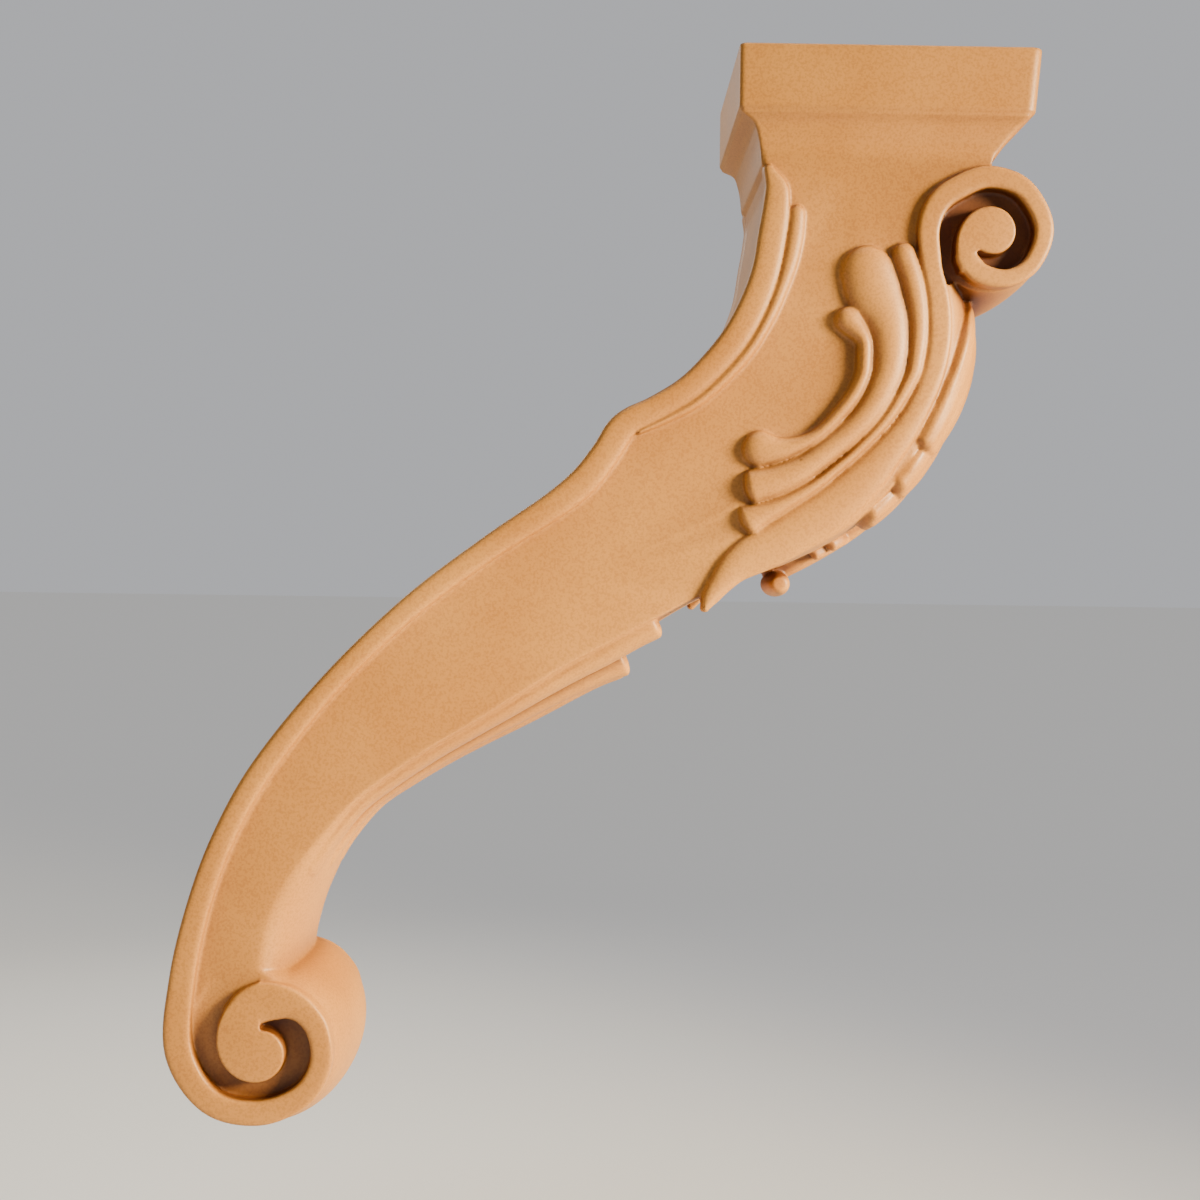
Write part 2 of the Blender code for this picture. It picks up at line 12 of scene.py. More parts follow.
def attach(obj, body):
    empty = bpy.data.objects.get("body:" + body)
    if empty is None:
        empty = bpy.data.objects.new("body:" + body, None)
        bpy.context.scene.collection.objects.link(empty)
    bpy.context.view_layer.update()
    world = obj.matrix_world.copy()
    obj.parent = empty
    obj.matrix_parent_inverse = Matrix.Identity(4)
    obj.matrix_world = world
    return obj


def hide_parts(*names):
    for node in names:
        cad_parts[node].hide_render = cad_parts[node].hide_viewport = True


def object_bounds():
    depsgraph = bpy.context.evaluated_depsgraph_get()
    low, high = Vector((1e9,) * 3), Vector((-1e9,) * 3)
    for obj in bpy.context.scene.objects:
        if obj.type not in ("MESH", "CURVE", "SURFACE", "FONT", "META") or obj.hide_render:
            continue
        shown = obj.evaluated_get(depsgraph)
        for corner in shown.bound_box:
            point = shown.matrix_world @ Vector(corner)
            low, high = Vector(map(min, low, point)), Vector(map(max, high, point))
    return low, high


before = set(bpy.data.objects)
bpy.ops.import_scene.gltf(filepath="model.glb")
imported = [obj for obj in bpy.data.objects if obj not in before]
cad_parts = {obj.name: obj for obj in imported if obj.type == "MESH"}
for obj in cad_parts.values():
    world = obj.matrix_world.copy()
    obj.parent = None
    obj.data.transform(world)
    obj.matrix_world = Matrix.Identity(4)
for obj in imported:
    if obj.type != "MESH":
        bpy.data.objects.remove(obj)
cad_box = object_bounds()

# Overall sizes, in metres
HEIGHT = 0.500              # nominal: the paths below are in thousandths of it
BODY_WIDTH = 0.1008         # from one flank panel to the other
CAP_LENGTH = 0.1370
CAP_WIDTH = 0.1126
CAP_FACE = 0.0295           # upright part of the cap
CAP_FLARE = 0.0240          # sloping underside, down to the neck
CAP_LEAN = 0.0025           # how far the front face leans in at its foot
CAP_CORNER = 0.0050         # radius of the upright corners in front
CAP_BACK_CORNER = 0.0023
CAP_EASE = 0.0010           # rounding of the top and bottom arrises
NECK_BACK = 0.0575          # neck behind the cap's middle, at the foot of the flare
NECK_FRONT = 0.0455
NECK_INSET = 0.0006         # neck inside the flank panels, at the foot of the flare
NECK_CORNER = 0.5           # its corners, as a share of the cap's
NECK_TOP = 0.45             # where the body ends inside the flare, as a share of the way down
NECK_LEAN = 0.0010          # how far the body's front leans back up there
STUB_DROP = 0.012           # stub under the flare that is buried in the body
STUB_INSETS = (0.007, 0.006, 0.004)     # behind, in front and at the sides

# Raised work on the flanks
RIM_PROUD = 0.0036          # volutes and front band over the panel
RIM_DEPTH = 0.0075          # how far the rims reach down into the body
RIM_EASE = 0.0009           # rounding of the rims' edges
END_FULLNESS = 0.7          # how high a ridge's rounded end stays: lower is blunter
BURIED_WIDTH = 0.94         # width of a ridge's buried foot, as a share of its own
MOULDING_PROUD = 0.0034     # back moulding over the panel
STRIP_PROUD = 0.0030        # inner strip of the back moulding
STRIP_DEPTH = 0.0040
STRIP_OVERLAP = 0.0003      # how far it reaches into the moulding beside it
RIDGE_PROUD = 0.0056        # curled ridges beside the front band
EDGE_INSET = 0.0009         # body core inside the rims' outer edges
FLANK_INSET = 0.0012        # and its outermost slices drawn in along the front edges
VOLUTE_ENDS = (0.2, 1.0)    # how round the front band ends, in the volute and at its tail

# Swelling front
SWELL_SQUARENESS = 2.2
SWELL_CHANGE = (-0.74, -0.66)       # stretch of the height where its section changes
SWELL_POWERS = (0.5, 0.75)          # a full round near the foot, an edge at the flanks above

# Scrolls
TOP_RADIUS = 0.0279
TOP_BAND = 0.0094
TOP_EYE = 0.0104
TOP_EYE_DROP = 0.0011       # eye's centre under the roll's
TOP_BULGE = 0.0026          # roll's middle over its ends
FOOT_RADIUS = 0.0331
FOOT_BAND = 0.0112
FOOT_EYE = 0.0098
FOOT_BULGE = 0.0073
TOP_FADE = 0.0185           # how fast the band draws in to the eye, per degree
FOOT_FADE = 0.0102
TOP_EYE_START = -126        # degrees at which the eye's plate leaves the band
FOOT_EYE_START = 90
TOP_EYE_FROM = 0.85         # its radius there, as a share of the scroll's
FOOT_EYE_FROM = 0.98
GROOVE_FLOOR = 0.0050       # scroll grooves below the flank panel
GROOVE_SPAN = (265, -70)    # degrees between which the foot's groove is cut
GROOVE_STEPS = 70
GROOVE_WIDTH = 0.0115       # its width where it runs out on the leg
GROOVE_END = -62            # degrees at which it has died out
GROOVE_FADE = 105           # degrees over which it dies out
GROOVE_OVERLAP = 0.0012     # how far its cutter reaches into the walls beside it
GROOVE_SQUARENESS = 2.6
CUTTER_REACH = 0.006        # how far that cutter stands out of the flank
FOOT_ROLL_INSET = 0.0042    # ends of the foot's roll inside the flank panels
BARREL_ROUNDNESS = 0.7      # how full a roll's bulge is: lower is fuller
BARREL_STEP = 0.0008        # barrels inside their rims
SEAM_DROP = 0.0005          # eye's face dips this much under the band where they join
SEAM_TURN = 40              # and comes up again over these degrees

# Leaves
CURL_RADIUS = 0.0062        # small roll at the knee leaf's tip
CURL_LENGTH = 0.0400
CURL_WAY = 0.928            # its place down the knee's edge, as a share of it
CURL_RISE = 0.0015          # its axis over the midrib
CURL_END = 0.1              # its ends' radius, as a share of its own
CURL_ROUNDNESS = 0.2
LEAF_SQUARENESS = 2.4
STEM_LIFT = 0.0058          # leaf's midrib and stem over the knee
STEM_DEPTH = 0.007
STEM_ENDS = (0.5, 0.8)
LOBE_LIFT = 0.0052
LOBE_DEPTH = 0.006
LOBE_ENDS = (0.6, 0.5)
FLUTE = 0.10                # depth of the lobes' flutes, as a share of their lift
LOBE_FLUTES = 4             # flutes across each lobe
TOOTH_ENDS = (0.5, 0.6)
FINGER_LIFT = 0.0075        # blunt fingers of the lower leaf
FINGER_DEPTH = 0.007
FINGER_ENDS = (0.35, 0.6)
MIDDLE_FINGER_DEPTH = 0.0064

# Fineness
VOXEL = 0.00062
MOST_TRIANGLES = 190_000
SANDING = 0.5               # how much each of the passes evens out the skin
SANDING_PASSES = 5
SPAN_STEPS = 8              # points between two stations of a path
FLARE_STEPS = 4             # and between two of the cap's flare
EYE_STEP = 5                # degrees between points of a scroll's eye
ROUND_SIDES = 20            # facets over a rounded ridge
END_TURNS = range(12, 90, 12)       # degrees over a ridge's rounded end
ARRIS_TURNS = range(0, 91, 15)      # degrees over the cap's arrises
RIM_TURNS = range(0, 91, 30)        # and over the rim of a scroll's eye
SLICES = 49                 # cuts across the body's width
BARREL_SLICES = 41
BARREL_TURN = 4             # degrees between points around a roll
CAP_TURN = 10               # degrees between points of the cap's corners
SLOPE_STEP = 0.01           # step across the half width on which a front's slope is measured

HALF = BODY_WIDTH / 2
UNIT = HEIGHT / 1000

# Stations were measured on the photo and carried into the flank's plane. In thousandths of the
# height they are (x, z, half width) or, on the front edges, (x, z, swell at mid-width).
BACK_BAND = [
    (-108.7, -112, 5), (-101.4, -129, 10.8), (-102, -149, 12.3), (-104.8, -169, 12.9),
    (-110.4, -202, 12.6), (-120.5, -232, 12.8), (-136, -262, 12.6), (-156, -287.5, 12),
    (-179.7, -310.6, 11.5), (-208, -328.5, 11.3), (-230, -340, 12.2), (-241.5, -351, 13.2),
    (-253, -370, 13.1), (-273, -396, 13.3), (-302, -420, 12.5), (-357.4, -457.5, 11.2),
    (-427.6, -511.5, 10.4), (-498.5, -581.6, 10), (-559.6, -659.9, 10.6), (-594.3, -724.5, 10.6),
    (-615.8, -787.2, 11), (-629.1, -851.8, 11.9)]
STRIP_WIDTHS = [             # (z of the back band beside it, half width)
    (-147, 7.6), (-169, 8.2), (-186, 7.9), (-202, 7), (-217, 6.2), (-247, 5.5), (-288, 5.2),
    (-311, 4.6), (-321, 3.9), (-328.5, 3.2), (-335.2, 2.4), (-341, 1.5)]
FRONT_BAND = [
    (38.5, -190, 9.8), (40.7, -202.4, 9.3), (46.3, -226.5, 10.2), (48.1, -252.9, 10.7),
    (45.8, -277.9, 10.5), (39.2, -302.4, 10.6), (28.8, -325.5, 11.3), (16, -347, 13.2),
    (1.5, -365.9, 15.2), (-13.5, -383.9, 17.8), (-32.7, -403.4, 19.5), (-52.8, -420.3, 20.7),
    (-75.2, -435.2, 20.8), (-95.3, -448, 19.9), (-118.1, -460.2, 18.4), (-134.5, -471.6, 14.8),
    (-147, -486, 11), (-156.5, -499.5, 8), (-161, -509, 4)]
SMALL_CURL = [
    (-34.5, -247.1, 13), (-21.2, -264.2, 8.2), (-19.8, -281.5, 7.9), (-21.1, -295.9, 7.6),
    (-28.6, -313.4, 7.6), (-41.9, -331.4, 7.3), (-59.9, -349.9, 6.9), (-77.1, -359.6, 8.2),
    (-95.5, -364.8, 12), (-112, -364.5, 17.5)]
BROAD_LOBE = [
    (-17.8, -203.6, 24.8), (-11.1, -223.7, 25.4), (-1.9, -241.4, 21), (3, -261, 18),
    (3.3, -281.2, 16.2), (-0.2, -298.5, 15.1), (-12, -324.1, 13.8), (-32.2, -348, 12.6),
    (-64.4, -374.5, 12.4), (-81.9, -385.7, 14.1), (-100, -393.7, 15), (-119, -398.8, 16.2)]
THIN_RIDGE = [
    (14.7, -187.3, 11.4), (22.2, -208.8, 11), (26.2, -226, 10.6), (28.5, -243.3, 9.7),
    (28.8, -260.6, 9.3), (26.7, -280.8, 8.5), (22.4, -298.2, 7.8), (1.5, -334.9, 6.1),
    (-26.7, -365.8, 5.5), (-43.8, -380.8, 5.5), (-61, -394.9, 6.1), (-81.3, -407.9, 7.2),
    (-98.2, -417.1, 9), (-114, -424.8, 12), (-122, -429.5, 15)]
KNEE_EDGE = [
    (53.8, -207.6, 25), (58.4, -229, 29), (59.7, -250.6, 31), (58.2, -276, 30),
    (48.2, -313.3, 25.5), (34.3, -348.5, 20), (17, -381.8, 14), (-1.8, -405.3, 11.5),
    (-23.7, -426, 9.8), (-50.3, -445, 7), (-70.5, -456.2, 6), (-92.4, -466, 6),
    (-117.5, -474.8, 5)]
LEG_EDGE = [
    (-121.4, -476.8, 5), (-152.7, -491.5, 5), (-183.5, -506.6, 6), (-222.6, -527, 10),
    (-256.5, -545.3, 15), (-291.8, -564.5, 17), (-338.9, -594.7, 15.5), (-375.8, -618.4, 13),
    (-408.1, -637.9, 13.3), (-440.1, -659.3, 14), (-475.9, -685.9, 15.5), (-503.3, -715.4, 20.5),
    (-529.1, -744.5, 31), (-550.5, -779.8, 36.5), (-560.5, -811.9, 37), (-564, -841.9, 35)]
INSIDE_ROLL = (-20, 5)       # where the front edge hides in the top roll, from its centre
NECK_EDGE = [(70, -150), (92, -113), (99, -80)]
GROOVE_TAIL = [(65, -204), (57, -213), (44, -208)]     # groove's way out under the top roll
TOP_CENTRE = (94, -163)
FOOT_CENTRE = (-558, -915.8)

# The raised ridges as (stations, height as a share of RIDGE_PROUD, depth, roundness of ends).
RIDGES = [
    (SMALL_CURL, 0.9, 0.0050, (1.0, 1.0)),
    (BROAD_LOBE, 1.0, 0.0052, (1.0, 0.5)),
    (THIN_RIDGE, 0.8, 0.0054, (1.0, 0.5))]

# Squareness of the two bands' sections, as (z in metres, squareness).
MOULDING_SECTION = [(-0.45, 5.0), (-0.35, 3.0)]
FRONT_SECTION = [(-0.17, 2.2), (-0.12, 5.0)]

# The cap's flare as (way down it, way in from the cap's edge to the neck). In front it comes in
# faster: part straight, the rest by a power of the way down.
FLARE = [(0.05, 0.1), (0.2, 0.62), (0.4, 0.8), (0.65, 0.92), (1.0, 1.0)]
FRONT_STRAIGHT = 0.45
FRONT_POWER = 0.6

# The scrolls' bands as (turn, outer radius, width), in degrees from the back and shares of
# their radius and band.
TOP_TURNS = [
    (0, 1.215, 1.09), (25, 1.165, 1.14), (50, 1.068, 1.15), (85, 1.036, 1.10), (127, 1.004, 0.99),
    (176, 1.004, 0.93), (218, 0.996, 0.85), (250, 0.975, 0.85), (281, 0.92, 1.02),
    (305, 0.835, 1.1), (320, 0.76, 1.0)]
FOOT_TURNS = [
    (0, 1.302, 1.14), (45, 1.136, 1.04), (90, 1.005, 1.02), (135, 0.985, 0.94), (170, 1, 0.91),
    (200, 1.006, 0.96), (221, 1, 1.04), (237, 0.997, 1.24), (252, 0.985, 1.5), (268, 0.965, 1.66),
    (285, 0.89, 1.58), (300, 0.8, 1.4)]
BACK_TURNS = 7              # how many of the foot's the back of the body follows

# Leaf stations are (way down the edge, distance from the middle, half width, lift),
# the first as a share of that edge's length, the next two of half the body's width.
LOBES = [
    [(0.08, 0.30, 0.30, 0.5), (0.18, 0.55, 0.44, 0.85), (0.28, 0.69, 0.36, 1.15),
     (0.37, 0.80, 0.26, 1.3), (0.435, 0.85, 0.20, 1.25)],
    [(0.32, 0.30, 0.24, 0.8), (0.41, 0.53, 0.32, 1.1), (0.49, 0.73, 0.28, 1.25),
     (0.56, 0.84, 0.19, 1.2)],
    [(0.45, 0.25, 0.20, 0.8), (0.54, 0.50, 0.26, 1.05), (0.61, 0.71, 0.24, 1.15),
     (0.665, 0.83, 0.17, 1.15)]]
MIDRIB = [(0.03, 0, 0.15, 0.6), (0.2, 0, 0.19, 0.75), (0.4, 0, 0.17, 1.0), (0.6, 0, 0.14, 0.95),
          (0.70, 0, 0.13, 0.9), (0.80, 0, 0.12, 1.0), (0.88, 0, 0.11, 1.1), (0.93, 0, 0.10, 1.1)]
TEETH = [(0.715, 0.80), (0.765, 0.72)]   # way down the edge and size of each pair
TOOTH_REACH = 0.30          # a full-size tooth's tip from the middle
FINGERS = [
    [(0.245, 0.0, 0.20, 1.75), (0.29, 0.0, 0.215, 1.45), (0.40, 0.0, 0.205, 1.25),
     (0.53, 0.0, 0.19, 1.0), (0.68, 0.0, 0.16, 0.6), (0.80, 0.0, 0.13, 0.15)],
    [(0.235, 0.40, 0.20, 1.75), (0.28, 0.41, 0.20, 1.35), (0.40, 0.42, 0.175, 0.95),
     (0.53, 0.43, 0.16, 0.8), (0.68, 0.43, 0.14, 0.5), (0.80, 0.43, 0.12, 0.15)],
    [(0.165, 0.79, 0.175, 1.0), (0.22, 0.79, 0.175, 0.85), (0.38, 0.79, 0.15, 0.58),
     (0.54, 0.79, 0.14, 0.5), (0.68, 0.80, 0.12, 0.42), (0.82, 0.81, 0.10, 0.1)]]


def smooth(rows, steps=SPAN_STEPS):
    """Rows joined by a smooth curve through every one of them."""
    rows = np.array(rows, float)
    ends = np.vstack([2 * rows[0] - rows[1], rows, 2 * rows[-1] - rows[-2]])
    out = []
    for a, b, c, d in zip(ends, ends[1:], ends[2:], ends[3:]):
        for t in np.arange(steps) / steps:
            out.append(0.5 * (2 * b + (c - a) * t + (2 * a - 5 * b + 4 * c - d) * t ** 2
                              + (3 * b - a - 3 * c + d) * t ** 3))
    out.append(rows[-1])
    return np.array(out)


def path(*stretches):
    """Stretches of rows, one after another, as one smooth curve."""
    return smooth(np.vstack(stretches))


def unit(vectors):
    return vectors / np.linalg.norm(vectors, axis=-1, keepdims=True)


def normals(rows, turn):
    """Unit normals of a flat path, to its left for turn 1 and to its right for -1."""
    along = unit(np.gradient(rows[:, :2], axis=0))
    return turn * np.stack([-along[:, 1], along[:, 0]], axis=1)


def loft(rings):
    """Closed form through rings of equally many points, as (points, faces)."""
    count = len(rings[0])
    faces = []
    for ring in range(len(rings) - 1):
        low, high = ring * count, (ring + 1) * count
        for i in range(count):
            j = (i + 1) % count
            faces.append((low + i, low + j, high + j, high + i))
    faces.append(tuple(reversed(range(count))))
    faces.append(tuple(range((len(rings) - 1) * count, len(rings) * count)))
    return np.array(rings, float).reshape(-1, 3), faces


def ridge(points, outward, widths, lifts, depth, squareness=2.0, flutes=0, ends=(1.0, 1.0)):
    """Raised band along a path on a surface: its section is half an oval, squarer for a higher
    squareness, and each end is rounded over that share of its half width."""
    squareness = np.broadcast_to(squareness, len(points))
    along = unit(np.gradient(points, axis=0))
    across = unit(np.cross(along, outward))
    rows = list(zip(points, across, outward, widths, lifts, squareness))

    def end_rows(index, way, reach):
        p, a, o, w, h, square = rows[index]
        return [(p + way * along[index] * w * reach * math.sin(b), a, o, w * math.cos(b),
                 h * math.cos(b) ** END_FULLNESS, square) for b in np.radians(END_TURNS)]

    whole = end_rows(0, -1, ends[0])[::-1] + rows + end_rows(-1, 1, ends[1])
    sides = ROUND_SIDES * max(1, flutes)
    angles = np.pi * np.arange(sides + 1) / sides
    fluting = 1 - FLUTE * (flutes > 0) * np.sin((flutes + 0.5) * (angles - np.pi / 2)) ** 2
    rings = []
    for p, a, o, w, h, square in whole:
        wide = np.sign(np.cos(angles)) * np.abs(np.cos(angles)) ** (2 / square)
        high = np.sin(angles).clip(0) ** (2 / square) * fluting
        ring = [p + a * w * c + o * h * s for c, s in zip(wide, high)]
        ring.append(p - a * w * BURIED_WIDTH - o * depth)
        ring.append(p + a * w * BURIED_WIDTH - o * depth)
        rings.append(ring)
    return loft(rings)


def flank_ridge(rows, side, lift, depth, squareness=2.0, ends=(1.0, 1.0)):
    """Ridge along (x, z, half width) rows on the flank at y = side * HALF."""
    points = np.stack([rows[:, 0], np.full(len(rows), side * HALF), rows[:, 1]], axis=1)
    outward = np.tile([0.0, float(side), 0.0], (len(rows), 1))
    lifts = np.full(len(rows), lift)
    return ridge(points, outward, rows[:, 2], lifts, depth, squareness, ends=ends)


def inner_strip():
    """Rows of the strip that lies against the back band's inner edge."""
    band = smooth(UNIT * np.array(BACK_BAND))
    heights, halves = UNIT * np.array(STRIP_WIDTHS).T
    band = band[(band[:, 1] <= heights[0]) & (band[:, 1] >= heights[-1])]
    half = np.interp(-band[:, 1], -heights, halves)[:, None]
    middle = band[:, :2] + normals(band, 1) * (band[:, 2:] + half - STRIP_OVERLAP)
    return np.hstack([middle, half])


def polar(centre, radius, degrees):
    return (centre[0] + radius * math.cos(math.radians(degrees)),
            centre[1] + radius * math.sin(math.radians(degrees)))


def scroll(centre, turns, radius, band, way):
    """Rows of a scroll's band, turning from the back: clockwise for way -1, else the other way."""
    rows = []
    for turn, outer, width in turns:
        middle = radius * outer - band * width / 2
        rows.append((*polar(centre * UNIT, middle, 180 + way * turn), band * width / 2))
    return np.array(rows)


def top_scroll():
    return scroll(np.array(TOP_CENTRE), TOP_TURNS, TOP_RADIUS, TOP_BAND, -1)


def foot_scroll():
    return scroll(np.array(FOOT_CENTRE), FOOT_TURNS, FOOT_RADIUS, FOOT_BAND, 1)


def eye(centre, eye_radius, start_radius, fade, start, way, side):
    """Snail-shaped plate that ends a scroll: its radius falls from the band's to the eye's."""
    face = HALF + RIM_PROUD
    turns = range(0, 361, EYE_STEP)
    radii = [eye_radius + (start_radius - eye_radius) * math.exp(-fade * turn) for turn in turns]
    dips = [SEAM_DROP * max(0.0, 1 - turn / SEAM_TURN) for turn in turns]
    rings = []
    eased = [(face - RIM_EASE + RIM_EASE * math.sin(b), RIM_EASE * (1 - math.cos(b)))
             for b in np.radians(RIM_TURNS)]
    for height, inset in [(HALF - RIM_DEPTH, 0)] + eased:
        flat = [polar(centre, r - inset, start + way * t) for r, t in zip(radii, turns)]
        rings.append([(x, side * (height - dip), z) for (x, z), dip in zip(flat, dips)])
    return loft(rings)


def swell(share, z):
    """Height of a front edge's swelling across the width, 1 at the middle and 0 at the flanks."""
    power = np.interp(z, HEIGHT * np.array(SWELL_CHANGE), SWELL_POWERS)
    return (1 - abs(share) ** SWELL_SQUARENESS) ** power


def front_point(rows, way, share):
    """Point and outward normal on a swelling front, at a share of its length and half width."""
    lengths = np.concatenate([[0], np.cumsum(np.linalg.norm(np.diff(rows[:, :2], axis=0), axis=1))])
    at = way * lengths[-1]
    sides = normals(rows, 1)
    x, z, rise = (np.interp(at, lengths, rows[:, i]) for i in range(3))
    nx, nz = (np.interp(at, lengths, sides[:, i]) for i in range(2))
    lift = rise * swell(share, z)
    climb = swell(share + SLOPE_STEP, z) - swell(share - SLOPE_STEP, z)
    slope = rise * climb / (2 * SLOPE_STEP * HALF)
    point = np.array([x + nx * lift, share * HALF, z + nz * lift])
    return point, unit(np.array([nx, -slope, nz]))


def leaf_ridge(rows, stations, side, lift, depth, ends, flutes=0):
    """Ridge of a leaf on a swelling front, on the side 1 or -1 of its middle."""
    fine = smooth(stations)
    placed = [front_point(rows, way, side * share) for way, share, _, _ in fine]
    points = np.array([p for p, _ in placed])
    outward = np.array([n for _, n in placed])
    return ridge(points, outward, fine[:, 2] * HALF, fine[:, 3] * lift, depth, LEAF_SQUARENESS,
                 flutes, ends)


def body_core():
    """The S-shaped body without its raised work, swelling in front."""
    edge = path(UNIT * np.array(BACK_BAND), foot_scroll()[:BACK_TURNS])
    outer = edge[:, :2] + normals(edge, -1) * (edge[:, 2:] - EDGE_INSET)
    outer = np.hstack([outer, np.zeros((len(outer), 1))])
    leg = path(UNIT * np.array(LEG_EDGE))[::-1]
    knee = path(UNIT * np.array(KNEE_EDGE))[::-1]
    inside_roll = np.array([[TOP_CENTRE[0] + INSIDE_ROLL[0], TOP_CENTRE[1] + INSIDE_ROLL[1], 0]])
    neck = np.array([(x, z, 0) for x, z in NECK_EDGE]) * UNIT
    top = -(CAP_FACE + NECK_TOP * CAP_FLARE)
    neck = np.vstack([neck, [[neck[-1, 0] - NECK_LEAN, top, 0]]])
    head = np.array([[outer[0, 0], top, 0]])
    rows = np.vstack([head, outer, leg, knee, inside_roll * UNIT, neck])
    ways = np.zeros((len(rows), 2))
    first = 1 + len(outer)
    ways[first:first + len(leg)] = normals(leg, -1)
    ways[first + len(leg):first + len(leg) + len(knee)] = normals(knee, -1)
    rings = []
    for share in np.sin(np.radians(np.linspace(-90, 90, SLICES))):
        lift = rows[:, 2:] * swell(share, rows[:, 1:2]) - (abs(share) == 1) * FLANK_INSET
        flat = rows[:, :2] + ways * lift
        rings.append([(x, share * HALF, z) for x, z in flat])
    return loft(rings)


def cap():
    """Flat-topped block on a flare, through rounded rectangles one under another."""
    foot = -(CAP_FACE + CAP_FLARE)
    length, width = CAP_LENGTH / 2, CAP_WIDTH / 2
    face = length - CAP_LEAN
    levels = []
    for turn in np.radians(ARRIS_TURNS):
        inset = CAP_EASE * (1 - math.sin(turn))
        levels.append((-CAP_EASE * (1 - math.cos(turn)), length - inset, length - inset,
                       width - inset))
    for turn in np.radians(ARRIS_TURNS):
        inset = CAP_EASE * (1 - math.cos(turn))
        levels.append((-CAP_FACE + CAP_EASE * (1 - math.sin(turn)), length - inset, face - inset,
                       width - inset))
    for down, inward in smooth(FLARE, FLARE_STEPS):
        share = FRONT_STRAIGHT * down + (1 - FRONT_STRAIGHT) * down ** FRONT_POWER
        levels.append((-CAP_FACE - down * CAP_FLARE, length + (NECK_BACK - length) * inward,
                       face + (NECK_FRONT - face) * share,
                       width + (HALF - NECK_INSET - width) * inward))
    behind, before, beside = STUB_INSETS
    levels.append((foot - STUB_DROP, NECK_BACK - behind, NECK_FRONT - before, HALF - beside))
    rings = []
    for z, back, front, half in levels:
        tight = 1 if z >= -CAP_FACE else NECK_CORNER
        corners = [(front, half, 0, CAP_CORNER), (-back, half, 90, CAP_BACK_CORNER),
                   (-back, -half, 180, CAP_BACK_CORNER), (front, -half, 270, CAP_CORNER)]
        ring = []
        for x, y, start, radius in corners:
            corner = radius * tight
            middle = (x - math.copysign(corner, x), y - math.copysign(corner, y))
            for turn in range(0, 91, CAP_TURN):
                ring.append((*polar(middle, corner, start + turn), z))
        rings.append(ring)
    return loft(rings)


def barrel(centre, end_radius, bulge, half_length, roundness=BARREL_ROUNDNESS):
    """Turned roll lying across the body, fullest at its middle."""
    rings = []
    for share in np.sin(np.radians(np.linspace(-90, 90, BARREL_SLICES))):
        radius = end_radius + bulge * (1 - share * share) ** roundness
        ring = [polar(centre, radius, turn) for turn in range(0, 360, BARREL_TURN)]
        rings.append([(x, share * half_length, z) for x, z in ring])
    return loft(rings)


def foot_groove(side):
    """Cutter for the trough between the foot's band and its eye, dying out on the leg."""
    centre = np.array(FOOT_CENTRE) * UNIT
    turns, outers, bands = np.array(FOOT_TURNS).T
    rows = []
    for turn in np.linspace(*GROOVE_SPAN, GROOVE_STEPS):
        passed = 180 + turn - FOOT_EYE_START
        eye_edge = FOOT_EYE + (FOOT_RADIUS - FOOT_EYE) * math.exp(-FOOT_FADE * passed)
        wall = eye_edge + GROOVE_WIDTH
        if turn > 0:
            wall = (FOOT_RADIUS * np.interp(turn, turns, outers)
                    - FOOT_BAND * np.interp(turn, turns, bands))
        fade = min(1.0, (turn - GROOVE_END) / GROOVE_FADE)
        x, z = polar(centre, (eye_edge + wall) / 2, 180 + turn)
        rows.append((x, z, (wall - eye_edge) / 2 + GROOVE_OVERLAP, GROOVE_FLOOR * fade))
    rows = np.array(rows)
    points = np.stack([rows[:, 0], np.full(len(rows), side * HALF), rows[:, 1]], axis=1)
    outward = np.tile([0.0, -float(side), 0.0], (len(rows), 1))
    return ridge(points, outward, rows[:, 2], rows[:, 3], CUTTER_REACH, GROOVE_SQUARENESS)


def top_groove(side):
    """Cutter that sinks the flank inside the top volute's ring."""
    outline = [(x, z) for x, z, _ in smooth(top_scroll())]
    outline += [(x * UNIT, z * UNIT) for x, z in GROOVE_TAIL]
    floor = HALF - GROOVE_FLOOR - BARREL_STEP
    return loft([[(x, side * y, z) for x, z in outline] for y in (floor, HALF + 2 * RIM_PROUD)])


def tip_curl(rows):
    """The small roll in which the knee leaf's tip ends."""
    point, out = front_point(rows, CURL_WAY, 0.0)
    centre = point + out * (STEM_LIFT + CURL_RISE)
    end_radius = CURL_RADIUS * CURL_END
    return barrel(centre[[0, 2]], end_radius, CURL_RADIUS - end_radius, CURL_LENGTH / 2,
                  CURL_ROUNDNESS)


def tooth(way, size):
    """Stations of a small tooth that slants out from the midrib."""
    return [(way, 0.06, 0.075 * size, 0.9), (way + 0.02, 0.16, 0.085 * size, 0.85),
            (way + 0.045, TOOTH_REACH * size, 0.075 * size, 0.8)]


def flank_forms(side, back, front, top_eye, foot):
    """Raised work of one flank, at y = side * HALF."""
    forms = []
    for stations, share, depth, ends in RIDGES:
        rows = path(UNIT * np.array(stations))
        forms.append(flank_ridge(rows, side, RIDGE_PROUD * share, depth, ends=ends))
    squarer = np.interp(back[:, 1], *np.array(MOULDING_SECTION).T)
    flatter = np.interp(front[:, 1], *np.array(FRONT_SECTION).T)
    return forms + [
        flank_ridge(inner_strip(), side, STRIP_PROUD, STRIP_DEPTH),
        flank_ridge(back, side, MOULDING_PROUD, RIM_DEPTH, squarer),
        flank_ridge(front, side, RIM_PROUD, RIM_DEPTH, flatter, VOLUTE_ENDS),
        eye(top_eye, TOP_EYE, TOP_RADIUS * TOP_EYE_FROM, TOP_FADE, TOP_EYE_START, -1, side),
        eye(foot, FOOT_EYE, FOOT_RADIUS * FOOT_EYE_FROM, FOOT_FADE, FOOT_EYE_START, 1, side)]


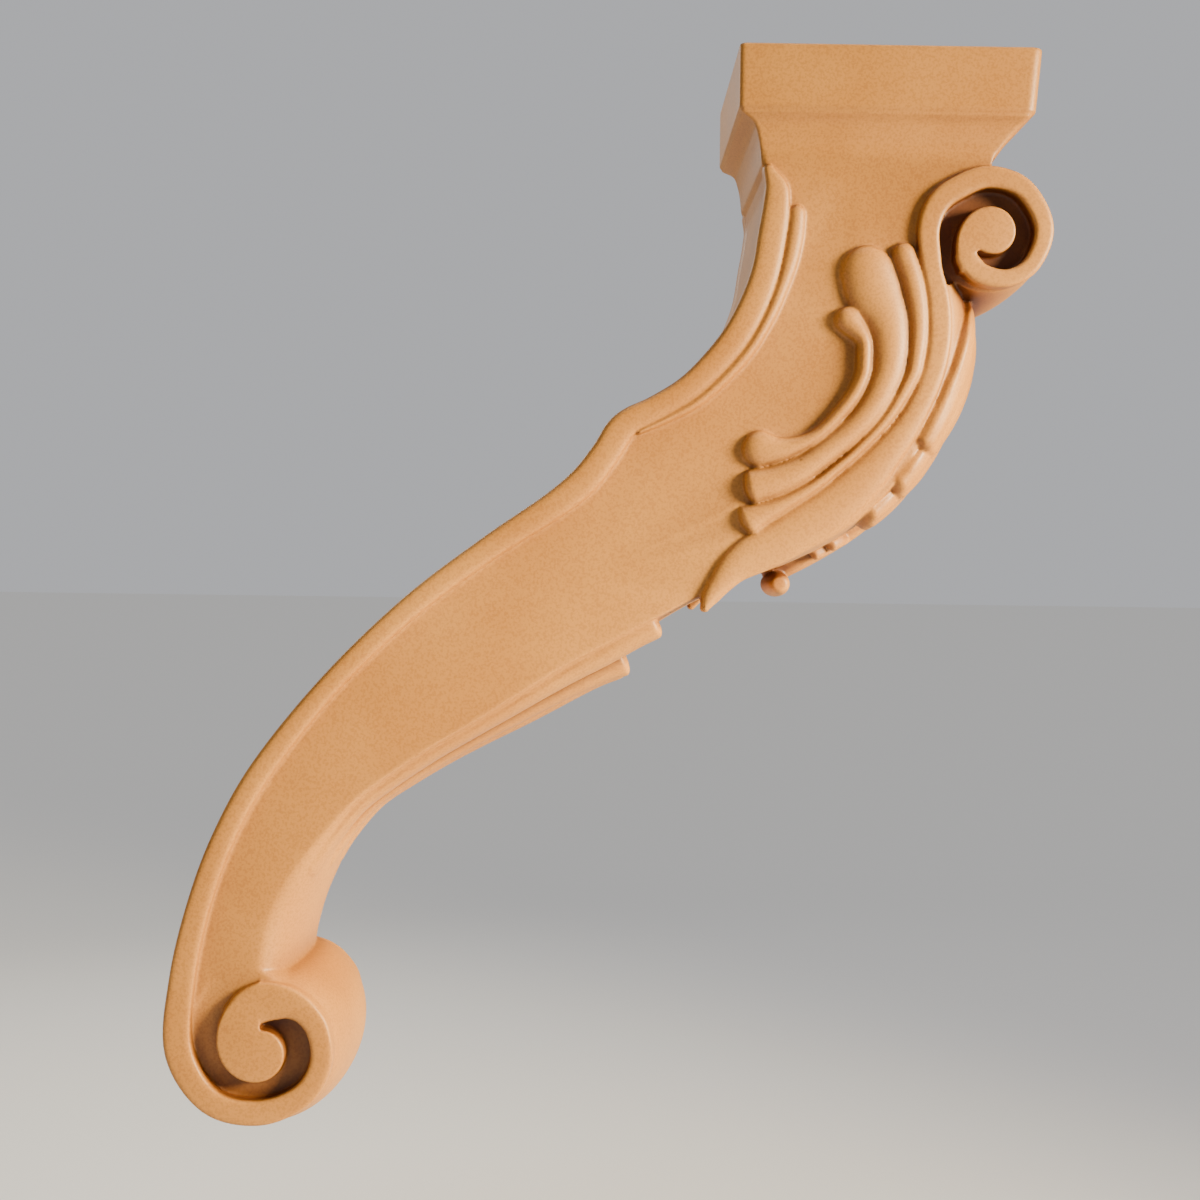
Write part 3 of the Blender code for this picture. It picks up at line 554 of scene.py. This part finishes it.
def leaf_forms(side, knee, leg):
    """Lobes, teeth and fingers of the two leaves on one side of their middle."""
    forms = []
    for stations in LOBES:
        forms.append(leaf_ridge(knee, stations, side, LOBE_LIFT, LOBE_DEPTH, LOBE_ENDS,
                                LOBE_FLUTES))
    for way, size in TEETH:
        forms.append(leaf_ridge(knee, tooth(way, size), side, STEM_LIFT, LOBE_DEPTH, TOOTH_ENDS))
    for stations in FINGERS[1:]:
        forms.append(leaf_ridge(leg, stations, side, FINGER_LIFT, FINGER_DEPTH, FINGER_ENDS))
    return forms


def carved_forms():
    """Every form that stands on the core, on both flanks and across the front."""
    knee = path(UNIT * np.array(KNEE_EDGE))
    leg = path(UNIT * np.array(LEG_EDGE))
    top = np.array(TOP_CENTRE) * UNIT
    foot = np.array(FOOT_CENTRE) * UNIT
    top_eye = top - np.array([0, TOP_EYE_DROP])
    back = path(UNIT * np.array(BACK_BAND), foot_scroll())
    front = path(top_scroll()[::-1], UNIT * np.array(FRONT_BAND))
    forms = []
    for side in (-1, 1):
        forms += flank_forms(side, back, front, top_eye, foot)
        forms += leaf_forms(side, knee, leg)
    forms.append(leaf_ridge(leg, FINGERS[0], 1, FINGER_LIFT, MIDDLE_FINGER_DEPTH, FINGER_ENDS))
    forms.append(leaf_ridge(knee, MIDRIB, 1, STEM_LIFT, STEM_DEPTH, STEM_ENDS))
    forms.append(tip_curl(knee))
    forms.append(barrel(top, TOP_RADIUS - BARREL_STEP, TOP_BULGE, HALF - GROOVE_FLOOR))
    forms.append(barrel(foot, FOOT_RADIUS - BARREL_STEP, FOOT_BULGE, HALF - FOOT_ROLL_INSET))
    forms.append(cap())
    return forms


def mesh_object(name, forms):
    """Object of several closed forms, each with its faces turned outward."""
    points = []
    faces = []
    for form_points, form_faces in forms:
        faces += [tuple(i + len(points) for i in face) for face in form_faces]
        points += form_points.tolist()
    mesh = bpy.data.meshes.new(name)
    mesh.from_pydata(points, [], faces)
    shell = bmesh.new()
    shell.from_mesh(mesh)
    bmesh.ops.recalc_face_normals(shell, faces=shell.faces)
    shell.to_mesh(mesh)
    shell.free()
    obj = bpy.data.objects.new(name, mesh)
    bpy.context.scene.collection.objects.link(obj)
    return obj


def applied(obj):
    """Replaces an object's mesh by what its modifiers make of it."""
    bpy.context.view_layer.update()
    mesh = bpy.data.meshes.new_from_object(obj.evaluated_get(bpy.context.evaluated_depsgraph_get()))
    obj.modifiers.clear()
    obj.data = mesh


def carve():
    """The whole corbel as one skin, fine where it is carved and coarser where it is flat."""
    core = mesh_object("core", [body_core()])
    cutter = mesh_object("grooves", [groove(side) for groove in (foot_groove, top_groove)
                                     for side in (-1, 1)])
    cut = core.modifiers.new("grooves", "BOOLEAN")
    cut.operation = "DIFFERENCE"
    cut.solver = "EXACT"
    cut.object = cutter
    applied(core)
    corbel = mesh_object("carved_corbel", carved_forms())
    whole = bmesh.new()
    whole.from_mesh(corbel.data)
    whole.from_mesh(core.data)
    whole.to_mesh(corbel.data)
    whole.free()
    for helper in (core, cutter):
        bpy.data.objects.remove(helper, do_unlink=True)
    skin = corbel.modifiers.new("one skin", "REMESH")
    skin.mode = "VOXEL"
    skin.voxel_size = VOXEL
    soften = corbel.modifiers.new("sanded", "SMOOTH")
    soften.factor = SANDING
    soften.iterations = SANDING_PASSES
    applied(corbel)
    triangles = 2 * len(corbel.data.polygons)
    if triangles > MOST_TRIANGLES:
        thinner = corbel.modifiers.new("coarser where flat", "DECIMATE")
        thinner.ratio = MOST_TRIANGLES / triangles
        applied(corbel)
    return corbel


def keep_in_box(corbel, box):
    """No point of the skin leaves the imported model's box."""
    points = np.empty(len(corbel.data.vertices) * 3, np.float32)
    corbel.data.vertices.foreach_get("co", points)
    points = points.reshape(-1, 3).clip(np.array(box[0]), np.array(box[1]))
    corbel.data.vertices.foreach_set("co", points.ravel())
    corbel.data.update()


# How recesses are found, for the shade painted into the wood's colour
OPEN_REACH = 0.026          # how far around a point its recess is felt
OPEN_RAYS = 24
OPEN_LIFT = 0.0002          # start of the rays over the skin
OPEN_KEPT = 0.4             # share of a point's own value in each of the evening passes
OPEN_PASSES = 2


def mark_recesses(corbel):
    """Stores at each point how much of the space over it is closed in, as the recess attribute,
    which sets how much shade is painted into the wood there.
    """
    mesh = corbel.data
    count = len(mesh.vertices)
    tree = BVHTree.FromPolygons([v.co for v in mesh.vertices],
                                [tuple(p.vertices) for p in mesh.polygons])
    golden = math.pi * (3 - math.sqrt(5))
    rays = []
    for i in range(OPEN_RAYS):
        up = 1 - (i + 0.5) / OPEN_RAYS
        flat = math.sqrt(1 - up * up)
        rays.append((flat * math.cos(golden * i), flat * math.sin(golden * i), up))
    closed = np.zeros(count)
    for vertex in mesh.vertices:
        out = vertex.normal
        side = out.orthogonal().normalized()
        other = out.cross(side)
        start = vertex.co + out * OPEN_LIFT
        total = 0.0
        for x, y, up in rays:
            distance = tree.ray_cast(start, side * x + other * y + out * up, OPEN_REACH)[3]
            if distance is not None:
                total += up * (1 - distance / OPEN_REACH)
        closed[vertex.index] = total
    closed *= 2 / OPEN_RAYS
    edges = np.empty(len(mesh.edges) * 2, np.int32)
    mesh.edges.foreach_get("vertices", edges)
    a, b = edges.reshape(-1, 2).T
    touching = np.bincount(a, minlength=count) + np.bincount(b, minlength=count)
    for _ in range(OPEN_PASSES):
        spread = (np.bincount(a, closed[b], count) + np.bincount(b, closed[a], count)) / touching
        closed = OPEN_KEPT * closed + (1 - OPEN_KEPT) * spread
    layer = mesh.attributes.new("recess", "FLOAT", "POINT")
    layer.data.foreach_set("value", closed.astype(np.float32))


# The wood
TAN = (0.58, 0.235, 0.040)
LIGHT_TAN = (0.71, 0.310, 0.060)
SPECK = (0.74, 0.66, 0.60)
# brown towards which the painted shade darkens the wood in its recesses
PAINTED_SHADE_BROWN = (0.23, 0.15, 0.10)
WHITE = (1, 1, 1)
CLOUD_SCALE = 14.0
SPECKLE_SCALE = 900.0
SPECKLE_SHARE = 0.6         # how strongly the speckle tints
SMOOTHEST = 0.42            # roughness of the sheen
ROUGHEST = 0.54
GRAIN_STRENGTH = 0.12
GRAIN_HEIGHT = 0.0002


def node(tree, kind, **settings):
    """New shader node of a kind, with its settings."""
    made = tree.nodes.new(kind)
    for name, value in settings.items():
        setattr(made, name, value)
    return made


def noise(tree, place, scale, detail):
    """Noise on the object's own coordinates, as its socket."""
    made = node(tree, "ShaderNodeTexNoise")
    made.inputs["Scale"].default_value = scale
    made.inputs["Detail"].default_value = detail
    tree.links.new(place.outputs["Object"], made.inputs["Vector"])
    return made.outputs["Fac"]


def ramp(tree, value, low, low_colour, high, high_colour):
    """Colour that runs from one to the other while a value rises from low to high."""
    made = node(tree, "ShaderNodeValToRGB")
    first, last = made.color_ramp.elements
    first.position = low
    first.color = (*low_colour, 1)
    last.position = high
    last.color = (*high_colour, 1)
    tree.links.new(value, made.inputs["Fac"])
    return made.outputs["Color"]


def multiplied(tree, colour, by, factor):
    """One colour times another, mixed in by a factor, as its socket."""
    made = node(tree, "ShaderNodeMix", data_type="RGBA", blend_type="MULTIPLY")
    made.inputs["Factor"].default_value = factor
    tree.links.new(colour, made.inputs["A"])
    tree.links.new(by, made.inputs["B"])
    return made.outputs["Result"]


def carved_wood():
    """Warm tan satin wood with shade painted into its recesses, soft clouding and a fine brown
    speckle.
    """
    material = bpy.data.materials.new("carved_wood")
    material.use_nodes = True
    tree = material.node_tree
    shader = tree.nodes["Principled BSDF"]
    place = node(tree, "ShaderNodeTexCoord")
    recess = node(tree, "ShaderNodeAttribute", attribute_name="recess")
    clouds = noise(tree, place, CLOUD_SCALE, 3.0)
    speckle = noise(tree, place, SPECKLE_SCALE, 2.0)

    tone = ramp(tree, clouds, 0.30, TAN, 0.72, LIGHT_TAN)
    specks = ramp(tree, speckle, 0.36, SPECK, 0.56, WHITE)
    # painted shade: the colour darkens towards brown where the space over the skin is closed in
    shade = ramp(tree, recess.outputs["Fac"], 0.02, WHITE, 0.42, PAINTED_SHADE_BROWN)
    speckled = multiplied(tree, tone, specks, SPECKLE_SHARE)
    speckled_and_shaded = multiplied(tree, speckled, shade, 1.0)
    tree.links.new(speckled_and_shaded, shader.inputs["Base Color"])

    sheen = node(tree, "ShaderNodeMapRange")
    sheen.inputs["From Min"].default_value = 0.3
    sheen.inputs["From Max"].default_value = 0.7
    sheen.inputs["To Min"].default_value = SMOOTHEST
    sheen.inputs["To Max"].default_value = ROUGHEST
    tree.links.new(clouds, sheen.inputs["Value"])
    tree.links.new(sheen.outputs["Result"], shader.inputs["Roughness"])
    bump = node(tree, "ShaderNodeBump")
    bump.inputs["Strength"].default_value = GRAIN_STRENGTH
    bump.inputs["Distance"].default_value = GRAIN_HEIGHT
    tree.links.new(speckle, bump.inputs["Height"])
    tree.links.new(bump.outputs["Normal"], shader.inputs["Normal"])
    return material


# The studio
FLOOR_DROP = 0.10           # floor below the nominal height
FLOOR_REACH = 60.0
FLOOR_COLOUR = (0.80, 0.79, 0.78, 1)
FLOOR_ROUGHNESS = 0.8
SKY_COLOUR = (0.95, 0.96, 1.0, 1)
SKY_LIGHT = 0.06            # even light from all round
SKY_SEEN = 0.52             # how bright the backdrop itself looks
OVERHEAD = 1.75             # strength of the light over the floor
OVERHEAD_ANGLE = 60         # its width in degrees, which makes it soft
LIGHTS = {
    "key": {"place": (1.10, -0.62, 0.0), "target": (-0.12, -0.05, -0.33), "size": 0.42,
            "spread": 50, "power": 6.8, "colour": (1.0, 0.87, 0.60)},
    "fill": {"place": (-0.75, -0.85, -0.10), "target": (-0.1, 0.0, -0.30), "size": 0.6,
             "spread": 180, "power": 0.2, "colour": (1.0, 0.96, 0.92)},
    "behind": {"place": (-0.70, 0.80, 0.25), "target": (-0.15, 0.0, -0.25), "size": 0.5,
               "spread": 120, "power": 1.6, "colour": (1.0, 0.95, 0.88)}}


def floor():
    """Plain pale floor, which is stage and not part of the corbel."""
    mesh = bpy.data.meshes.new("floor")
    low = -HEIGHT - FLOOR_DROP
    mesh.from_pydata([(-FLOOR_REACH, -FLOOR_REACH, low), (FLOOR_REACH, -FLOOR_REACH, low),
                      (FLOOR_REACH, FLOOR_REACH, low), (-FLOOR_REACH, FLOOR_REACH, low)],
                     [], [(0, 1, 2, 3)])
    plane = bpy.data.objects.new("floor", mesh)
    bpy.context.scene.collection.objects.link(plane)
    plain = bpy.data.materials.new("plain_floor")
    plain.use_nodes = True
    shader = plain.node_tree.nodes["Principled BSDF"]
    shader.inputs["Base Color"].default_value = FLOOR_COLOUR
    shader.inputs["Roughness"].default_value = FLOOR_ROUGHNESS
    mesh.materials.append(plain)


def soft_light(name, place, target, size, spread, power, colour):
    """Round lamp that faces its target."""
    lamp = bpy.data.lights.new(name, "AREA")
    lamp.shape = "DISK"
    lamp.size = size
    lamp.spread = math.radians(spread)
    lamp.energy = power
    lamp.color = colour
    obj = bpy.data.objects.new(name, lamp)
    obj.location = place
    obj.rotation_euler = (Vector(place) - Vector(target)).to_track_quat("Z", "Y").to_euler()
    bpy.context.scene.collection.objects.link(obj)


def studio():
    """A warm key that grazes the flank from the front, weak lights from the left and from
    behind, and an overhead light for the floor."""
    world = bpy.data.worlds.new("studio")
    world.use_nodes = True
    tree = world.node_tree
    sky = tree.nodes["Background"]
    sky.inputs["Color"].default_value = SKY_COLOUR
    seen = node(tree, "ShaderNodeLightPath")
    strength = node(tree, "ShaderNodeMapRange")
    strength.inputs["To Min"].default_value = SKY_LIGHT
    strength.inputs["To Max"].default_value = SKY_SEEN
    tree.links.new(seen.outputs["Is Camera Ray"], strength.inputs["Value"])
    tree.links.new(strength.outputs["Result"], sky.inputs["Strength"])
    bpy.context.scene.world = world
    overhead = bpy.data.lights.new("overhead", "SUN")
    overhead.energy = OVERHEAD
    overhead.angle = math.radians(OVERHEAD_ANGLE)
    lamp = bpy.data.objects.new("overhead", overhead)
    bpy.context.scene.collection.objects.link(lamp)
    for name, light in LIGHTS.items():
        soft_light(name, **light)


# The camera stands where the photo's did, as measured on it.
FOCAL_PX = 1667.0           # in the picture's pixels, like the next two
VANISH_RIGHT = -16.0        # where the width axis vanishes, from the picture's middle
VANISH_DOWN = -10.0
CAP_TILT = 0.0135           # how far the cap's length tips down to the right
CAMERA_PLACE = (-0.135333, -0.805073, -0.247079)
FILM_WIDTH = 36.0           # in millimetres, like the lens
LENS = 50.0


def camera():
    """Camera at the photo's place and angle."""
    across = unit(np.array([VANISH_RIGHT, VANISH_DOWN, FOCAL_PX]))
    front = np.array([1.0, CAP_TILT, 0.0])
    front = unit(front - front.dot(across) * across)
    turn = np.array([front, across, np.cross(front, across)])
    axes = np.array([turn[:, 0], -turn[:, 1], -turn[:, 2]]).T
    lens = bpy.data.cameras.new("photo_camera")
    lens.sensor_width = FILM_WIDTH
    lens.lens = LENS
    lens.clip_start = 0.01
    obj = bpy.data.objects.new("photo_camera", lens)
    obj.matrix_world = Matrix.Translation(CAMERA_PLACE) @ Matrix(axes.tolist()).to_4x4()
    bpy.context.scene.collection.objects.link(obj)
    bpy.context.scene.camera = obj


corbel = carve()
keep_in_box(corbel, cad_box)
corbel.data.polygons.foreach_set("use_smooth", np.ones(len(corbel.data.polygons), bool))
mark_recesses(corbel)
corbel.data.materials.append(carved_wood())
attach(corbel, "root")
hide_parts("corbel")
floor()
studio()
camera()
